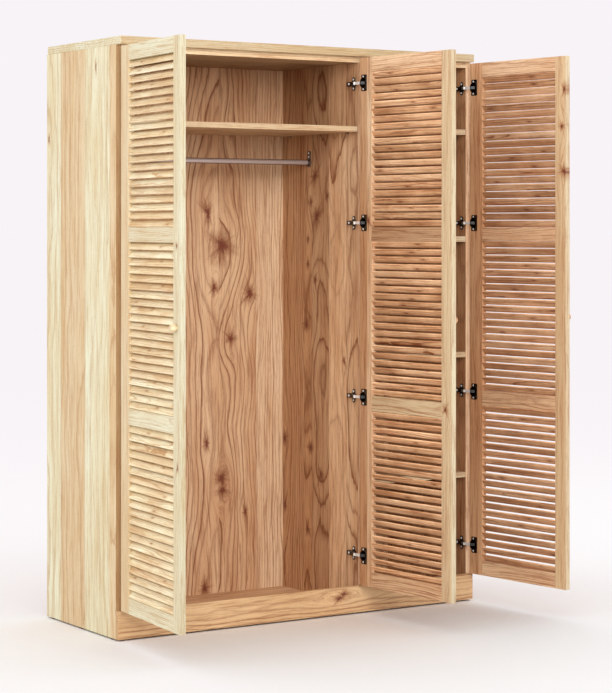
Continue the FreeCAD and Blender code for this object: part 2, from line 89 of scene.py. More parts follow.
# How dark a growth ring is from its start to its end
ring_profile = ((0.0, 0.50), (0.08, 0.15), (0.30, 0.0), (0.68, 0.06), (0.86, 0.50), (0.93, 1.0), (1.0, 0.95))
faintest_ring = 0.22
ring_contrast = 1.8
ring_swell = 0.010
ring_ripple = 0.0014
# How far the pith wanders to the side and in depth, and how it starts
pith_sway = 0.070
pith_rise = 0.120
sway_per_metre = 1.9
sway_start = 3.1
rise_start = 31.7
# How fibres follow the rings and the pith
fibre_swell = 0.030
fibre_sway = -0.6
# How far apart two seeds are along the grain and among the rings
seed_distance = 7.31
ring_seed = 37.0
# The noise from which each shows, and where it shows in full
pore_range = (0.60, 0.72)
deep_range = (0.35, 0.75)
fibre_range = (0.47, 0.66)
pores_between_rings = 0.2
deep_from_cloud = 0.75
deep_from_fibre = 0.35
fine_contrast = 0.50
fine_darkest = 0.76
fibre_strength = 0.62
ring_strength = 1.25
pore_strength = 0.42
seam_strength = 0.45
pore_colour = (0.11, 0.05, 0.022, 1)
seam_colour = (0.10, 0.045, 0.02, 1)
knot_colour = (0.140, 0.028, 0.014, 1)
cool_tint = (0.98, 1.05, 1.06, 1)
warm_tint = (1.03, 0.91, 0.78, 1)
oak_gloss = 0.35
oak_roughness = 0.42
oak_bump = 0.35
oak_bump_height = 0.0006
edge_width = 0.0003
seam_half_width = (0.0009, 0.0002)

# Knots: the noise of their arms and tears per radius and per metre, and how much each moves the outline
knot_arm_scale = 1.7
knot_arms = 2.6
knot_tear_scale = 150.0
knot_tears = 1.4
# Where each begins and is full, in radii, and its strength
knot_zones = (("Dark", 0.85, 0.3, 0.90), ("Halo", 2.1, 0.5, 0.80))
# How the rings bend about a knot
knot_bend = -0.80
knot_bend_fall = -0.10
knot_bend_height = 0.55

# Slats: painted shade darkens the edge of each face that goes under the next slat, and below some height a
# painted highlight lightens the long edges
slat_painted_shade_from = 0.0050
slat_painted_shade_to = 0.0110
slat_highlight_from = 0.0125
slat_highlight_to = 0.0138
slat_highlight_below = 1.30
slat_worn_fade = 0.08
slats_without_knot = 0.58
slat_knot_first = 0.09
slat_knot_reach = 0.32
slat_knot_off_middle = 0.006
slat_knot_sharpness_along = 75.0
slat_knot_sharpness_across = 260.0
slat_knot_tear_scale = 210.0
slat_knot_tears = 2.4
slat_knot_zones = (("Knot", 0.9, 0.1, 0.75), ("Halo", 2.4, 0.4, 0.6))
# Patches over several slats, and how much they and a slat's own tone follow the door's spread
patches_per_metre = 7.0
patches_per_slat = 0.45
patch_tone_spread = 1.8
slat_tone_spread = 0.65
slat_seed_spread = 9.0
slat_pith_spread = 0.10
slat_pith_depth = 0.015
slat_pith_depth_spread = 0.07
slat_ring_spacing = 0.0032
slat_ring_spacing_spread = 0.0025

# Metal and plastic: features per metre, and the dark end of a link from the hinge edge of its door
metal_clouds_per_metre = 90.0
metal_wear_per_metre = 420.0
metal_shade = (0.8, 0.79, 0.78)
metal_bump_height = 0.0002
link_end = (0.006, 0.010)
link_end_colour = (0.03, 0.028, 0.026, 1)
# A tube's painted dark reflection along its top and painted shade along its underside, where its normal is near
# upright, and their colour
tube_reflection_and_shade = (0.70, 0.90)
tube_reflection_and_shade_colour = (0.10, 0.045, 0.035, 1)
plastic_grain_per_metre = 900.0
plastic_shade = 0.7

# Each oak's pale wood, deep wood and dark lines
pale_oak = {"Pale": (0.73, 0.67, 0.49, 1), "Deep": (0.66, 0.53, 0.32, 1), "Line": (0.50, 0.31, 0.145, 1)}
mid_oak = {"Pale": (0.77, 0.545, 0.355, 1), "Deep": (0.62, 0.37, 0.212, 1), "Line": (0.28, 0.108, 0.048, 1)}
fair_oak = {"Pale": (0.67, 0.52, 0.335, 1), "Deep": (0.58, 0.40, 0.235, 1), "Line": (0.36, 0.165, 0.075, 1)}
gold_oak = {"Pale": (0.75, 0.50, 0.28, 1), "Deep": (0.62, 0.38, 0.19, 1), "Line": (0.36, 0.16, 0.07, 1)}

AXES = {"x": (1, 0, 0), "y": (0, 1, 0), "z": (0, 0, 1)}


# Shader wiring


class Wires:
    """Short calls that add nodes to one tree and connect them."""

    def __init__(self, tree):
        self.tree = tree

    def add(self, kind, inputs, **settings):
        made = self.tree.nodes.new("ShaderNode" + kind)
        for name, value in settings.items():
            setattr(made, name, value)
        for name, value in inputs.items():
            self.put(made.inputs[name], value)
        return made

    def put(self, socket, value):
        if isinstance(value, bpy.types.NodeSocket):
            self.tree.links.new(value, socket)
        else:
            socket.default_value = value

    def math(self, operation, first, second=0.0, third=0.0):
        return self.add("Math", {0: first, 1: second, 2: third}, operation=operation).outputs[0]

    def total(self, parts, start=0.0):
        """The sum of some sources, each by its amount, on top of a start."""
        for source, amount in parts:
            start = self.math("MULTIPLY_ADD", source, amount, start)
        return start

    def dot(self, vector, direction):
        made = self.add("VectorMath", {0: vector, 1: direction}, operation="DOT_PRODUCT")
        return made.outputs["Value"]

    def length(self, first, second):
        squares = self.math("ADD", self.math("MULTIPLY", first, first), self.math("MULTIPLY", second, second))
        return self.math("SQRT", squares)

    def combine(self, x, y, z):
        return self.add("CombineXYZ", {"X": x, "Y": y, "Z": z}).outputs[0]

    def split(self, vector):
        return self.add("SeparateXYZ", {0: vector}).outputs

    def noise(self, vector, scale, detail, roughness=0.5):
        settings = {"Vector": vector, "Scale": scale, "Detail": detail, "Roughness": roughness}
        return self.add("TexNoise", settings).outputs[0]

    def chance(self, number):
        """A number and a colour from 0 to 1 that are alike only for like numbers."""
        return self.add("TexWhiteNoise", {"W": number}, noise_dimensions="1D").outputs

    def wave_along(self, value, shift):
        """A slow wandering value from -0.5 to 0.5 along one coordinate."""
        settings = {"W": self.math("ADD", value, shift), "Scale": 1.0, "Detail": 2.0}
        made = self.add("TexNoise", settings, noise_dimensions="1D")
        return self.math("SUBTRACT", made.outputs[0], 0.5)

    def step(self, value, low, high, smooth=True):
        """0 below low, 1 above high."""
        made = self.add("MapRange", {"Value": value, "From Min": low, "From Max": high},
                        interpolation_type="SMOOTHSTEP" if smooth else "LINEAR")
        return made.outputs[0]

    def toward(self, factor, first, second):
        """The first number where the factor is 0 and the second where it is 1."""
        return self.math("MULTIPLY_ADD", factor, self.math("SUBTRACT", second, first), first)

    def mix(self, factor, first, second):
        made = self.add("Mix", {"Factor": factor}, data_type="RGBA")
        self.put(made.inputs[6], first)
        self.put(made.inputs[7], second)
        return made.outputs[2]

    def shade(self, colour, factor):
        """A colour multiplied by a number."""
        made = self.add("VectorMath", {0: colour}, operation="SCALE")
        self.put(made.inputs["Scale"], factor)
        return made.outputs[0]

    def ramp(self, factor, stops, interpolation="LINEAR"):
        """A number that follows stops, each a position and a value of 0 or more."""
        made = self.add("ValToRGB", {"Fac": factor})
        band = made.color_ramp
        band.interpolation = interpolation
        while len(band.elements) < len(stops):
            band.elements.new(0.5)
        for element, (position, value) in zip(band.elements, stops):
            element.position = position
            element.color = (value, value, value, 1)
        return made.outputs[0]


def new_group(name, floats, colours, outputs):
    """An empty group of nodes with its wires, inputs and outputs."""
    tree = bpy.data.node_groups.new(name, "ShaderNodeTree")
    sockets = [(key, "INPUT", "Float") for key in floats]
    sockets += [(key, "INPUT", "Color") for key in colours]
    sockets += [(key, "OUTPUT", kind) for key, kind in outputs]
    for key, direction, kind in sockets:
        tree.interface.new_socket(name=key, in_out=direction, socket_type="NodeSocket" + kind)
    given = tree.nodes.new("NodeGroupInput").outputs
    out = tree.nodes.new("NodeGroupOutput").inputs
    return tree, Wires(tree), given, out


def oak_figure():
    """Oak as solid wood: growth rings about a wandering pith, fibres, pores and clouds of colour."""
    floats = ("Along", "Across", "Inward", "Seed", "Pith", "Depth", "Spacing", "Wander", "Bend", "Knot", "Halo",
              "Tone", "Warmth", "Lines", "Seam")
    outputs = (("Color", "Color"), ("Roughness", "Float"), ("Height", "Float"))
    tree, w, given, out = new_group("oak_figure", floats, ("Pale", "Deep", "Line"), outputs)
    m = w.math
    along = m("MULTIPLY_ADD", given["Seed"], seed_distance, given["Along"])
    across, inward = m("ADD", given["Across"], given["Bend"]), given["Inward"]

    def feature(name, sideways):
        lengthwise, crosswise, detail, roughness = oak_features[name]
        place = w.combine(m("MULTIPLY", along, lengthwise), m("MULTIPLY", sideways, crosswise),
                          m("MULTIPLY", inward, crosswise))
        return w.noise(place, 1.0, detail, roughness)

    # Growth rings about the pith
    sway = w.wave_along(m("MULTIPLY", along, sway_per_metre), sway_start)
    sway = m("MULTIPLY", sway, m("MULTIPLY", given["Wander"], pith_sway))
    rise = m("MULTIPLY", w.wave_along(along, rise_start), m("MULTIPLY", given["Wander"], pith_rise))
    beside = m("SUBTRACT", m("SUBTRACT", across, given["Pith"]), sway)
    below = m("ADD", m("ADD", inward, given["Depth"]), rise)
    swell = m("SUBTRACT", feature("swell", across), 0.5)
    ripple = m("SUBTRACT", feature("ripple", across), 0.5)
    reach = w.total(((swell, ring_swell), (ripple, ring_ripple)), w.length(beside, below))
    turn = m("DIVIDE", reach, given["Spacing"])
    line = w.ramp(m("FRACT", turn), ring_profile)
    weight = w.chance(m("MULTIPLY_ADD", given["Seed"], ring_seed, m("FLOOR", turn)))[0]
    weight = m("MULTIPLY_ADD", m("POWER", weight, ring_contrast), 1.0 - faintest_ring, faintest_ring)
    rings = m("MULTIPLY", m("MULTIPLY", line, weight), given["Lines"])

    # Fibres, clouds and pores
    lane = m("MULTIPLY_ADD", swell, fibre_swell, m("MULTIPLY_ADD", sway, fibre_sway, across))
    fibre, fine, cloud = feature("fibre", lane), feature("fine", across), feature("cloud", across)
    porous = m("MULTIPLY_ADD", line, 1.0 - pores_between_rings, pores_between_rings)
    pores = m("MULTIPLY", w.step(feature("vessel", across), *pore_range), porous)
    deep = m("ADD", m("MULTIPLY", cloud, deep_from_cloud), m("MULTIPLY", fibre, deep_from_fibre))
    deep = w.step(deep, *deep_range)

    # Colour
    colour = w.mix(deep, given["Pale"], given["Deep"])
    colour = w.mix(m("MULTIPLY", w.step(fibre, *fibre_range), fibre_strength), colour, given["Line"])
    colour = w.mix(m("MINIMUM", m("MULTIPLY", rings, ring_strength), 1.0), colour, given["Line"])
    colour = w.mix(given["Halo"], colour, given["Line"])
    colour = w.mix(m("MULTIPLY", pores, pore_strength), colour, pore_colour)
    colour = w.shade(colour, m("MULTIPLY_ADD", fine, fine_contrast, fine_darkest))
    tint = w.mix(given["Warmth"], cool_tint, warm_tint)
    tint.node.clamp_factor = False
    colour = w.add("VectorMath", {0: colour, 1: tint}, operation="MULTIPLY").outputs[0]
    colour = w.shade(colour, given["Tone"])
    colour = w.mix(m("MULTIPLY", given["Seam"], seam_strength), colour, seam_colour)
    w.put(out["Color"], w.mix(given["Knot"], colour, knot_colour))

    # Gloss and relief
    rougher = ((fibre, 0.16), (pores, 0.12), (given["Knot"], -0.12))
    w.put(out["Roughness"], w.total(rougher, oak_roughness))
    raised = ((fibre, 0.35), (fine, 0.25), (pores, -0.8), (rings, -0.35), (given["Seam"], -1.0))
    w.put(out["Height"], w.total(raised))
    return tree


def knot_shape():
    """One knot: how dark it is at a point, and how far it pushes the rings aside."""
    floats = ("Along", "Across", "At Along", "At Across", "Radius", "Stretch")
    outputs = (("Dark", "Float"), ("Halo", "Float"), ("Bend", "Float"))
    tree, w, given, out = new_group("knot_shape", floats, (), outputs)
    m = w.math
    radius = given["Radius"]
    x = m("DIVIDE", m("SUBTRACT", given["Across"], given["At Across"]), radius)
    z = m("DIVIDE", m("SUBTRACT", given["Along"], given["At Along"]), m("MULTIPLY", radius, given["Stretch"]))
    far = w.length(x, z)

    # Its outline has arms and is torn
    ray = w.combine(m("DIVIDE", x, far), m("DIVIDE", z, far), m("MULTIPLY", given["At Along"], 9.0))
    arms = w.noise(ray, knot_arm_scale, 2.0, 0.6)
    torn = m("MULTIPLY", far, m("MULTIPLY_ADD", m("SUBTRACT", 0.5, arms), knot_arms, 1.0))
    rough = w.noise(w.combine(given["Along"], given["Across"], 0.0), knot_tear_scale, 3.0, 0.7)
    torn = m("MULTIPLY_ADD", m("SUBTRACT", rough, 0.5), knot_tears, torn)
    for output, outer, inner, strength in knot_zones:
        w.put(out[output], m("MULTIPLY", w.step(torn, outer, inner), strength))

    # The rings bend about it
    tall = m("MULTIPLY", z, knot_bend_height)
    squares = m("ADD", m("MULTIPLY", x, x), m("MULTIPLY", tall, tall))
    fall = m("EXPONENT", m("MULTIPLY", squares, knot_bend_fall))
    w.put(out["Bend"], m("MULTIPLY", m("MULTIPLY", m("MULTIPLY", x, radius), fall), knot_bend))
    return tree


FIGURE = oak_figure()
KNOT = knot_shape()


# Materials


def new_material(name):
    material = bpy.data.materials.new(name)
    material.use_nodes = True
    wires = Wires(material.node_tree)
    return material, wires, material.node_tree.nodes["Principled BSDF"]


def object_place(w):
    return w.add("TexCoord", {}).outputs["Object"]


def object_normal(w):
    return w.add("TexCoord", {}).outputs["Normal"]


def door_axes(name):
    """Where an open door's closed outer hinge corner is, and its two directions in plan."""
    edge, degrees, side = door_edges[name]
    angle = math.radians(degrees)
    x = axis_beyond_edge * math.cos(angle) + axis_before_face * math.sin(angle) - axis_beyond_edge
    y = -axis_beyond_edge * math.sin(angle) + axis_before_face * math.cos(angle) + door_front - axis_before_face
    corner = Vector((edge - carcass_width / 2 + side * x, y - carcass_depth / 2, 0))
    along = Vector((side * math.cos(angle), -math.sin(angle), 0))
    inward = Vector((side * math.sin(angle), math.cos(angle), 0))
    return corner, along, inward


def door_place(w, door):
    """A point's distances from a door's hinge edge, from its outer face and from the floor."""
    corner, along, inward = door_axes(door)
    away = w.add("VectorMath", {0: object_place(w), 1: corner}, operation="SUBTRACT").outputs[0]
    return w.dot(away, along), w.dot(away, inward), w.dot(away, AXES["z"])


def relief(w, shader, height, strength, distance):
    bump = w.add("Bump", {"Height": height, "Strength": strength, "Distance": distance})
    w.put(shader.inputs["Normal"], bump.outputs[0])


def finish_oak(w, shader, along, across, inward, values, knots=()):
    """Oak on a shader. Each knot: its place across and along, its radius and how much longer it is."""
    figure = w.tree.nodes.new("ShaderNodeGroup")
    figure.node_tree = FIGURE
    settings = {"Along": along, "Across": across, "Inward": inward, "Wander": 0.5, "Lines": 1.0}
    settings.update(values)
    for at_across, at_along, radius, stretch in knots:
        knot = w.tree.nodes.new("ShaderNodeGroup")
        knot.node_tree = KNOT
        for name, value in (("Along", along), ("Across", across), ("At Along", at_along),
                            ("At Across", at_across), ("Radius", radius), ("Stretch", stretch)):
            w.put(knot.inputs[name], value)
        for name, output, operation in (("Knot", "Dark", "MAXIMUM"), ("Halo", "Halo", "MAXIMUM"),
                                        ("Bend", "Bend", "ADD")):
            here = knot.outputs[output]
            settings[name] = w.math(operation, settings[name], here) if name in settings else here
    for name, value in settings.items():
        w.put(figure.inputs[name], value)
    w.put(shader.inputs["Base Color"], figure.outputs["Color"])
    w.put(shader.inputs["Roughness"], figure.outputs["Roughness"])
    shader.inputs["Specular IOR Level"].default_value = oak_gloss
    relief(w, shader, figure.outputs["Height"], oak_bump, oak_bump_height)


def board(name, grain, staves, knots=(), across="y", seed=0.0, ends=None, fade=None, **values):
    """A board or a panel glued from staves. Each stave: its far edge across the board, where its
    pith lies across, the pith's depth, ring spacing, wander, tone and warmth. Before some place
    along the grain the board may have a tone and a warmth of its own, and from one place to
    another its staves may be painted darker and warmer as painted shade."""
    material, w, shader = new_material("oak_" + name)
    place = w.split(object_place(w))
    inward = next(letter for letter in AXES if letter not in (grain, across))
    a, c, n = (place["xyz".index(letter)] for letter in (grain, across, inward))
    low, high = (corner["xyz".index(across)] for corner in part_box(name))
    columns = dict(zip(("Edge", "Pith", "Depth", "Spacing", "Wander", "Tone", "Warmth"), zip(*staves)))
    borders = columns.pop("Edge")[:-1]
    if borders:
        share = w.step(c, low, high, smooth=False)
        starts = [min(1.0, (edge - low) / (high - low)) for edge in (low, *borders)]
        # A ramp holds no negative number, so the piths are raised for it and lowered after it
        raised = 2 * (high - low) - low
        columns["Pith"] = [pith + raised for pith in columns["Pith"]]
        for key, column in columns.items():
            values[key] = w.ramp(share, list(zip(starts, column)), "CONSTANT")
        values["Pith"] = w.math("SUBTRACT", values["Pith"], raised)
        own_seeds = [(start, (number * 0.37 + seed) % 1) for number, start in enumerate(starts)]
        values["Seed"] = w.math("MULTIPLY_ADD", w.ramp(share, own_seeds, "CONSTANT"), 3.0, seed)
        nearest = None
        for border in borders:
            away = w.math("ABSOLUTE", w.math("SUBTRACT", c, border))
            nearest = away if nearest is None else w.math("MINIMUM", nearest, away)
        values["Seam"] = w.step(nearest, *seam_half_width)
    else:
        values.update({key: column[0] for key, column in columns.items()}, Seed=seed)
    if ends:
        until, tone, warmth = ends
        before = w.step(a, until + edge_width, until)
        values["Tone"] = w.toward(before, values["Tone"], tone)
        values["Warmth"] = w.toward(before, values["Warmth"], warmth)
    # Painted shade: from one place to another along the grain the staves are painted darker and warmer
    if fade:
        start, stop, darker, warmer = fade
        painted_shade_share = w.step(a, start, stop)
        values["Tone"] = w.math("MULTIPLY", values["Tone"], w.math("MULTIPLY_ADD", painted_shade_share, darker - 1.0, 1.0))
        values["Warmth"] = w.math("MULTIPLY_ADD", painted_shade_share, warmer, values["Warmth"])
    finish_oak(w, shader, a, c, n, values, knots)
    return material


def door_piece(name, door, grain, pith, depth, spacing, tone, warmth, seed, knots=(), strip=None, **values):
    """A stile, a rail or a knob, with its grain along the door, up the door or through it. A strip
    past some distance from the hinge edge may have a tone and a warmth of its own."""
    material, w, shader = new_material("oak_" + name)
    s, n, z = door_place(w, door)
    order = {"z": (z, s, n), "x": (s, z, n), "y": (n, s, z)}[grain]
    if strip:
        start, strip_tone, strip_warmth = strip
        past = w.step(s, start - edge_width, start)
        tone = w.math("MULTIPLY_ADD", past, strip_tone - tone, tone)
        warmth = w.math("MULTIPLY_ADD", past, strip_warmth - warmth, warmth)
    values.update(Pith=pith, Depth=depth, Spacing=spacing, Tone=tone, Warmth=warmth, Seed=seed)
    finish_oak(w, shader, *order, values, knots)
    return material


def slat_fields():
    """For each louvred field: the middle of its lowest slat, the step between slats, and its top."""
    rails = bottom_rail_height + lower_rail_height + upper_rail_height + top_rail_height
    together = door_high - door_low - rails
    half = ((slat_width - slat_thickness) * math.sin(slat_tilt) + slat_thickness) / 2
    found = []
    low = door_low + bottom_rail_height
    for share, rail in zip(field_shares, (lower_rail_height, upper_rail_height, top_rail_height)):
        high = low + share * together
        first = low + slat_rail_gap + half
        last = high - slat_rail_gap - half
        found.append((first, (last - first) / (slats_per_field - 1), high + rail / 2))
        low = high + rail
    return found


def slat_material(name, door, seed, tone, spread, warmth, shadow, highlight_strength, **values):
    """Louvre slats, each a strip of its own with its own tone, told apart by their height."""
    material, w, shader = new_material("oak_" + name)
    m = w.math
    s, n, z = door_place(w, door)

    # Which slat a point is on, and the height of that slat's middle
    number = None
    for index, (first, pitch, top) in enumerate(slat_fields()):
        count = m("ROUND", m("DIVIDE", m("SUBTRACT", z, first), pitch))
        level = m("MULTIPLY_ADD", count, pitch, first)
        count = m("ADD", count, index * slats_per_field)
        if number is None:
            number, middle_height = count, level
        else:
            above = m("GREATER_THAN", z, field_top)
            number = w.toward(above, number, count)
            middle_height = w.toward(above, middle_height, level)
        field_top = top
    dice = w.split(w.chance(m("ADD", number, seed * 61.0 + 0.5))["Color"])
    more = w.chance(m("ADD", number, seed * 83.0 + 211.5))[0]

    # A point's place in its slat's own directions
    sine, cosine = math.sin(slat_tilt), math.cos(slat_tilt)
    across = m("ADD", m("MULTIPLY", n, cosine), m("MULTIPLY", z, sine))
    depth = m("SUBTRACT", m("MULTIPLY", z, cosine), m("MULTIPLY", n, sine))
    middle = m("MULTIPLY_ADD", middle_height, sine, door_thickness / 2 * cosine)
    lift = m("MULTIPLY", middle_height, cosine)
    wide = m("SUBTRACT", across, middle)

    # Painted shade on the edge that goes under the next slat, and a painted highlight on the long edges below
    # some height
    face = door_axes(door)[2] * sine - Vector(AXES["z"]) * cosine
    side = m("SIGN", w.dot(object_normal(w), face))
    slat_painted_shade = m("MULTIPLY", m("MULTIPLY", wide, side), -1.0)
    slat_painted_shade = w.step(slat_painted_shade, slat_painted_shade_from, slat_painted_shade_to)
    low = w.step(z, slat_highlight_below, slat_highlight_below - slat_worn_fade)
    slat_painted_highlight = m("MULTIPLY", low, w.step(m("ABSOLUTE", wide), slat_highlight_from, slat_highlight_to))

    # Some slats have a small knot
    knot_at = m("MULTIPLY_ADD", more, slat_knot_reach, slat_knot_first)
    knot_along = m("MULTIPLY", m("SUBTRACT", s, knot_at), slat_knot_sharpness_along)
    knot_off = m("MULTIPLY_ADD", dice[0], 2 * slat_knot_off_middle, -slat_knot_off_middle)
    knot_wide = m("MULTIPLY", m("SUBTRACT", wide, knot_off), slat_knot_sharpness_across)
    torn = w.noise(w.combine(s, across, 0.0), slat_knot_tear_scale, 3.0, 0.7)
    torn = m("MULTIPLY_ADD", torn, slat_knot_tears, -slat_knot_tears / 2)
    far = m("ADD", torn, w.length(knot_along, knot_wide))
    has_knot = m("GREATER_THAN", dice[1], slats_without_knot)
    for key, outer, inner, strength in slat_knot_zones:
        values[key] = m("MULTIPLY", m("MULTIPLY", w.step(far, outer, inner), has_knot), strength)

    # Lighter and darker patches run over several slats
    patch = w.combine(m("MULTIPLY", s, patches_per_metre), m("MULTIPLY", number, patches_per_slat), seed)
    patch = m("SUBTRACT", w.noise(patch, 1.0, 3.0, 0.6), 0.5)
    own_tone = w.total(((m("SUBTRACT", dice[2], 0.5), slat_tone_spread * spread),
                        (patch, patch_tone_spread * spread)), tone)
    # Painted shade darkens and warms each slat's edge that goes under the next slat, and the painted highlight
    # lightens the long edges
    shaded = m("MULTIPLY", own_tone, m("MULTIPLY_ADD", slat_painted_shade, -shadow, 1.0))
    values.update({
        "Seed": m("MULTIPLY_ADD", dice[0], slat_seed_spread, seed),
        "Pith": m("MULTIPLY_ADD", m("SUBTRACT", dice[1], 0.5), slat_pith_spread, middle),
        "Depth": m("SUBTRACT", m("MULTIPLY_ADD", dice[0], slat_pith_depth_spread, slat_pith_depth), lift),
        "Spacing": m("MULTIPLY_ADD", more, slat_ring_spacing_spread, slat_ring_spacing),
        "Tone": m("MULTIPLY_ADD", slat_painted_highlight, highlight_strength, shaded),
        "Warmth": w.total(((more, 0.3), (dice[2], -0.6), (patch, -1.8), (slat_painted_shade, 0.6)), warmth + 0.2),
    })
    finish_oak(w, shader, s, across, depth, values)
    return material


def metal(name, colour, roughness, spread, bump, metallic=1.0, door=None, lines=False):
    """Plated steel with a slightly uneven polish. The end of a door's links in the cups is dark,
    and a tube may have a painted dark reflection along its top and painted shade along its underside."""
    material, w, shader = new_material(name)
    shader.inputs["Metallic"].default_value = metallic
    place = object_place(w)
    cloud = w.noise(place, metal_clouds_per_metre, 3.0)
    wear = w.noise(place, metal_wear_per_metre, 2.0)
    deep = (value * shade for value, shade in zip(colour, metal_shade))
    plating = w.mix(cloud, (*deep, 1), (*colour, 1))
    if door:
        from_hinge_edge = door_place(w, door)[0]
        plating = w.mix(w.step(from_hinge_edge, *link_end), plating, link_end_colour)
    # Painted dark reflection along the tube's top and painted shade along its underside
    if lines:
        upright = w.math("ABSOLUTE", w.dot(object_normal(w), AXES["z"]))
        plating = w.mix(w.step(upright, *tube_reflection_and_shade), plating, tube_reflection_and_shade_colour)
    w.put(shader.inputs["Base Color"], plating)
    w.put(shader.inputs["Roughness"], w.math("MULTIPLY_ADD", wear, spread, roughness))
    relief(w, shader, wear, bump, metal_bump_height)
    return material


def plastic(name, colour):
    """Moulded plastic with a fine grain."""
    material, w, shader = new_material(name)
    grain = w.noise(object_place(w), plastic_grain_per_metre, 2.0)
    deep = (value * plastic_shade for value in colour)
    w.put(shader.inputs["Base Color"], w.mix(grain, (*deep, 1), (*colour, 1)))
    w.put(shader.inputs["Roughness"], w.math("MULTIPLY_ADD", grain, 0.2, 0.45))
    relief(w, shader, grain, 0.2, metal_bump_height)
    return material


def dress(name, material):
    node = nodes[name]
    node.data.materials.clear()
    node.data.materials.append(material)


def dress_board(name, *looks, **values):
    dress(name, board(name, *looks, **values))


# How deep the wood at a board's end and along its front edge differs from the rest
end_grain_depth = 0.0004
front_edge_depth = 0.001
free_edge_depth = 0.0006

# Carcass: each stave is (far edge, pith across, pith depth, ring spacing, wander, tone, warmth)
# The left side's first stave, its front edge, is painted dark and warm: painted shade where the open left door
# shades that edge
dress_board("left_side", "z", (
    (-0.2596, -0.30, 0.05, 0.0070, 0.3, 0.68, 2.00),
    (-0.215, -0.27, 0.05, 0.0070, 0.3, 0.86, 1.10),
    (-0.195, -0.10, 0.09, 0.0070, 0.3, 1.00, 0.05),
    (-0.034, 0.02, 0.040, 0.0095, 0.25, 0.97, 0.00),
    (0.150, -0.07, 0.04, 0.0090, 0.25, 0.84, 1.05),
    (0.26, 0.33, 0.08, 0.0085, 0.3, 0.98, 0.00),
), knots=((-0.113, 1.905, 0.006, 3.0), (0.244, 1.677, 0.007, 2.0)), seed=0.3, Lines=0.60, **pale_oak)
# The right side's first stave, its front edge, is painted lighter, a painted highlight of the lit edge; its
# other staves are painted darker and warmer, painted shade of the narrow compartment
dress_board("right_side", "z", (
    (-0.257, -0.10, 0.05, 0.0050, 0.2, 1.15, 0.40),
    (-0.13, -0.20, 0.05, 0.0070, 0.5, 0.62, 1.45),
    (0.02, -0.05, 0.03, 0.0080, 0.5, 0.67, 1.45),
    (0.14, 0.20, 0.05, 0.0070, 0.5, 0.60, 1.45),
    (0.26, 0.21, 0.04, 0.0080, 0.5, 0.66, 1.45),
), knots=((0.08, 0.52, 0.012, 1.6), (-0.06, 1.33, 0.010, 1.5)), seed=1.7, **mid_oak)
# Above the hat shelf the divider is painted darker and warmer, painted shade of the hat space
dress_board("divider", "z", (
    (-0.188, -0.25, 0.05, 0.0075, 0.4, 0.98, 0.50),
    (-0.074, -0.12, 0.030, 0.0070, 0.7, 1.09, 0.38),
    (0.042, -0.03, 0.035, 0.0080, 0.6, 0.73, 0.90),
    (0.093, 0.07, 0.03, 0.0070, 0.5, 0.74, 1.20),
    (0.26, 0.28, 0.04, 0.0070, 0.4, 0.73, 1.20),
), knots=(
    (0.019, 1.556, 0.012, 1.8), (-0.060, 1.480, 0.010, 1.6), (0.048, 1.460, 0.009, 1.5),
    (0.009, 1.408, 0.014, 1.5), (0.067, 1.323, 0.007, 1.6), (0.067, 1.235, 0.007, 1.8),
    (0.019, 1.175, 0.009, 1.5), (0.078, 1.010, 0.015, 1.4), (-0.171, 0.890, 0.009, 1.4),
    (0.228, 0.580, 0.014, 1.5), (0.224, 0.330, 0.010, 1.5), (0.050, 0.560, 0.014, 1.3),
    (-0.020, 0.470, 0.012, 1.3), (0.070, 0.260, 0.010, 1.8),
), seed=2.9, fade=(1.66, 1.76, 0.80, 0.45), **mid_oak)
# Above the hat shelf the left back panel is painted warmer, painted shade of the hat space
dress_board("left_back_panel", "z", (
    (-0.550, -0.62, 0.07, 0.0080, 0.3, 0.98, 0.50),
    (-0.390, -0.45, 0.08, 0.0080, 0.3, 0.93, 0.55),
    (-0.215, -0.25, 0.07, 0.0080, 0.4, 1.00, 0.45),
    (-0.047, -0.028, 0.022, 0.0095, 0.60, 0.93, 0.50),
    (0.115, -0.120, 0.030, 0.0095, 0.90, 0.83, 0.72),
    (0.26, 0.40, 0.05, 0.0075, 0.4, 0.96, 0.25),
), knots=(
    (-0.030, 1.301, 0.030, 1.5), (0.089, 1.122, 0.020, 1.5), (0.007, 0.956, 0.014, 1.5),
    (-0.065, 1.149, 0.010, 2.2), (-0.096, 0.577, 0.010, 2.4), (-0.034, 0.446, 0.017, 1.4),
    (-0.028, 0.402, 0.015, 1.3), (0.068, 0.314, 0.009, 1.4), (-0.105, 0.048, 0.012, 1.6),
    (-0.090, 1.420, 0.010, 2.6), (0.010, 1.72, 0.014, 1.5),
), across="x", seed=4.1, fade=(1.66, 1.76, 1.05, 0.35), Lines=1.25, **mid_oak)
# The right back panel is painted darker and warmer, painted shade of the narrow compartment
dress_board("right_back_panel", "z", (
    (0.40, 0.28, 0.07, 0.0080, 0.3, 0.84, 0.70),
    (0.56, 0.53, 0.06, 0.0080, 0.3, 0.88, 0.65),
    (0.72, 0.66, 0.04, 0.0080, 0.5, 0.84, 0.70),
), knots=((0.45, 1.4, 0.017, 1.5), (0.62, 0.6, 0.015, 1.5)), across="x", seed=5.3, Lines=1.2, **mid_oak)
dress_board("top_board", "x", (
    (-0.17, -0.24, 0.035, 0.0070, 0.5, 0.69, 0.85),
    (-0.03, -0.11, 0.05, 0.0080, 0.5, 0.86, 0.60),
    (0.11, 0.05, 0.04, 0.0070, 0.5, 0.80, 0.85),
    (0.26, 0.20, 0.05, 0.0080, 0.5, 0.88, 0.55),
), knots=((-0.22, -0.35, 0.010, 1.8), (0.16, 0.30, 0.012, 1.7)), seed=6.2,
    ends=(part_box("top_board")[0][0] + end_grain_depth, 0.92, 0.05), **pale_oak)
